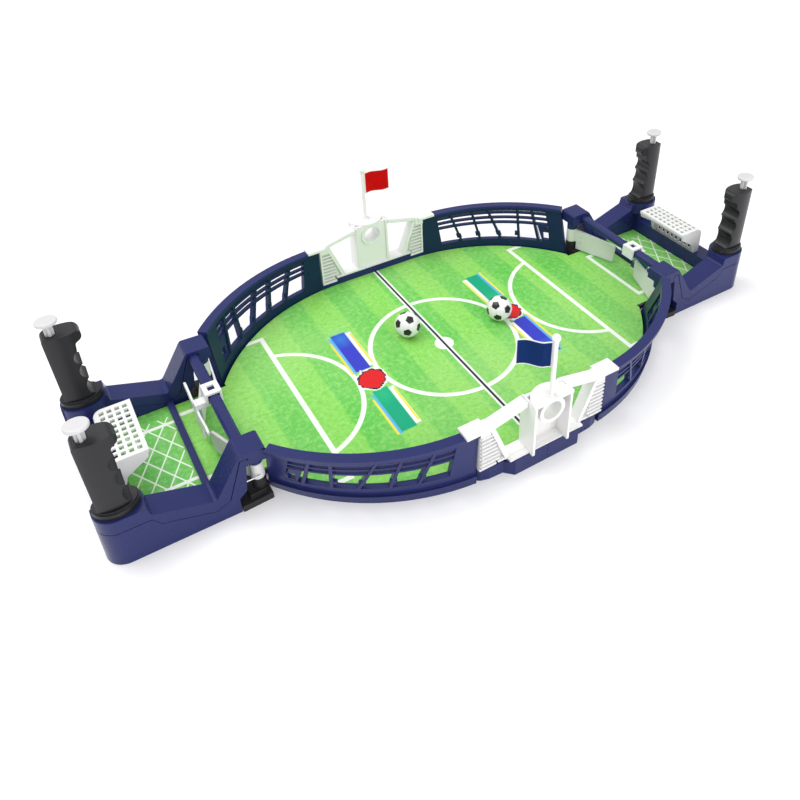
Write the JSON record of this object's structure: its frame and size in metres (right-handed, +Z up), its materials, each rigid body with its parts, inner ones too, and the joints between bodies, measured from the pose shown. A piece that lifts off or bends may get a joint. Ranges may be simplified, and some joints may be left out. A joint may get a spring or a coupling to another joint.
{
  "type": "tabletop football game",
  "caption": "Oval tabletop football pitch with lattice fences, end housings with button grips, paired flippers, sliding keepers, goals and side stands with flags.",
  "frame": {"origin": "middle of the underside, on the table", "axes": "+X along the length to the right-hand goal, +Y across to the far side, +Z up"},
  "size_m": [0.553, 0.2768, 0.1099],
  "materials": {
    "pitch_print": "printed, matt varnish",
    "navy_plastic": "moulded, semi-gloss",
    "fence_plastic": "moulded, semi-gloss",
    "white_plastic": "moulded, satin",
    "button_plastic": "moulded, satin",
    "grip_plastic": "fine spark texture",
    "block_plastic": "moulded, matt",
    "red_flag": "printed",
    "blue_flag": "printed",
    "steel": "drawn",
    "keeper_plastic": "moulded, printed face",
    "ball_plastic": "printed pattern"
  },
  "bodies": {
    "table_frame": {"button_spring_left_far": "steel", "button_spring_left_near": "steel", "button_spring_right_far": "steel", "button_spring_right_near": "steel", "collar_left_far": "grip_plastic", "collar_left_near": "grip_plastic", "collar_right_far": "grip_plastic", "collar_right_near": "grip_plastic", "corner_block_left_far": "block_plastic", "corner_block_left_near": "block_plastic", "corner_block_right_far": "block_plastic", "corner_block_right_near": "block_plastic", "crossbar_left": "navy_plastic", "crossbar_right": "navy_plastic", "fence_left_far": "fence_plastic", "fence_left_near": "fence_plastic", "fence_right_far": "fence_plastic", "fence_right_near": "fence_plastic", "field_base_left": "navy_plastic", "field_base_right": "navy_plastic", "flag_far": "red_flag", "flag_near": "blue_flag", "flag_pole_far": "white_plastic", "flag_pole_near": "white_plastic", "goal_floor_left": "pitch_print", "goal_floor_right": "pitch_print", "goal_left": "white_plastic", "goal_right": "white_plastic", "goal_sill_left": "navy_plastic", "goal_sill_right": "navy_plastic", "grip_left_far": "grip_plastic", "grip_left_near": "grip_plastic", "grip_right_far": "grip_plastic", "grip_right_near": "grip_plastic", "housing_lower_left": "navy_plastic", "housing_lower_right": "navy_plastic", "housing_upper_left": "navy_plastic", "housing_upper_right": "navy_plastic", "pitch_board_left": "pitch_print", "pitch_board_right": "pitch_print", "pivot_pins": "steel", "pull_wires": "steel", "shell_screws": "steel", "stand_far": "white_plastic", "stand_near": "white_plastic"},
    "button_left_far": {"button_left_far": "button_plastic"},
    "flipper_left_far": {"flipper_left_far": "white_plastic"},
    "button_left_near": {"button_left_near": "button_plastic"},
    "flipper_left_near": {"flipper_left_near": "white_plastic"},
    "button_right_far": {"button_right_far": "button_plastic"},
    "flipper_right_far": {"flipper_right_far": "white_plastic"},
    "button_right_near": {"button_right_near": "button_plastic"},
    "flipper_right_near": {"flipper_right_near": "white_plastic"},
    "keeper_left": {"keeper_left": "keeper_plastic"},
    "keeper_right": {"keeper_right": "keeper_plastic"},
    "ball_1": {"ball_1": "ball_plastic"},
    "ball_2": {"ball_2": "ball_plastic"}
  },
  "joints": [
    {"name": "press_left_far", "type": "slide", "parent": "table_frame", "child": "button_left_far", "axis": [0, 0, -1], "range_m": [0, 0.0075], "stiffness_N_per_m": 150, "springref_m": -0.004, "deforming": ["button_spring_left_far"]},
    {"name": "swing_left_far", "type": "hinge", "parent": "table_frame", "child": "flipper_left_far", "pos_m": [-0.178, 0.057, 0.0235], "axis": [0, 0, 1], "range_deg": [0, 50]},
    {"name": "press_left_near", "type": "slide", "parent": "table_frame", "child": "button_left_near", "axis": [0, 0, -1], "range_m": [0, 0.0075], "stiffness_N_per_m": 150, "springref_m": -0.004, "deforming": ["button_spring_left_near"]},
    {"name": "swing_left_near", "type": "hinge", "parent": "table_frame", "child": "flipper_left_near", "pos_m": [-0.178, -0.057, 0.0235], "axis": [0, 0, 1], "range_deg": [-50, 0]},
    {"name": "press_right_far", "type": "slide", "parent": "table_frame", "child": "button_right_far", "axis": [0, 0, -1], "range_m": [0, 0.0075], "stiffness_N_per_m": 150, "springref_m": -0.004, "deforming": ["button_spring_right_far"]},
    {"name": "swing_right_far", "type": "hinge", "parent": "table_frame", "child": "flipper_right_far", "pos_m": [0.178, 0.057, 0.0235], "axis": [0, 0, 1], "range_deg": [-50, 0]},
    {"name": "press_right_near", "type": "slide", "parent": "table_frame", "child": "button_right_near", "axis": [0, 0, -1], "range_m": [0, 0.0075], "stiffness_N_per_m": 150, "springref_m": -0.004, "deforming": ["button_spring_right_near"]},
    {"name": "swing_right_near", "type": "hinge", "parent": "table_frame", "child": "flipper_right_near", "pos_m": [0.178, -0.057, 0.0235], "axis": [0, 0, 1], "range_deg": [0, 50]},
    {"name": "slide_keeper_left", "type": "slide", "parent": "table_frame", "child": "keeper_left", "axis": [0, 1, 0], "range_m": [-0.024, 0.012]},
    {"name": "slide_keeper_right", "type": "slide", "parent": "table_frame", "child": "keeper_right", "axis": [0, 1, 0], "range_m": [-0.002, 0.034]},
    {"name": "roll_ball_1", "type": "slide", "parent": "table_frame", "child": "ball_1", "axis": [1, 0, 0], "range_m": [-0.06, 0.05]},
    {"name": "roll_ball_2", "type": "slide", "parent": "table_frame", "child": "ball_2", "axis": [1, 0, 0], "range_m": [-0.05, 0.06]}
  ],
  "couplings": [
    {"joint": "swing_left_far", "follows": "press_left_far", "rad_per_m": 116.34},
    {"joint": "swing_left_near", "follows": "press_left_near", "rad_per_m": -116.34},
    {"joint": "swing_right_far", "follows": "press_right_far", "rad_per_m": -116.34},
    {"joint": "swing_right_near", "follows": "press_right_near", "rad_per_m": 116.34}
  ]
}
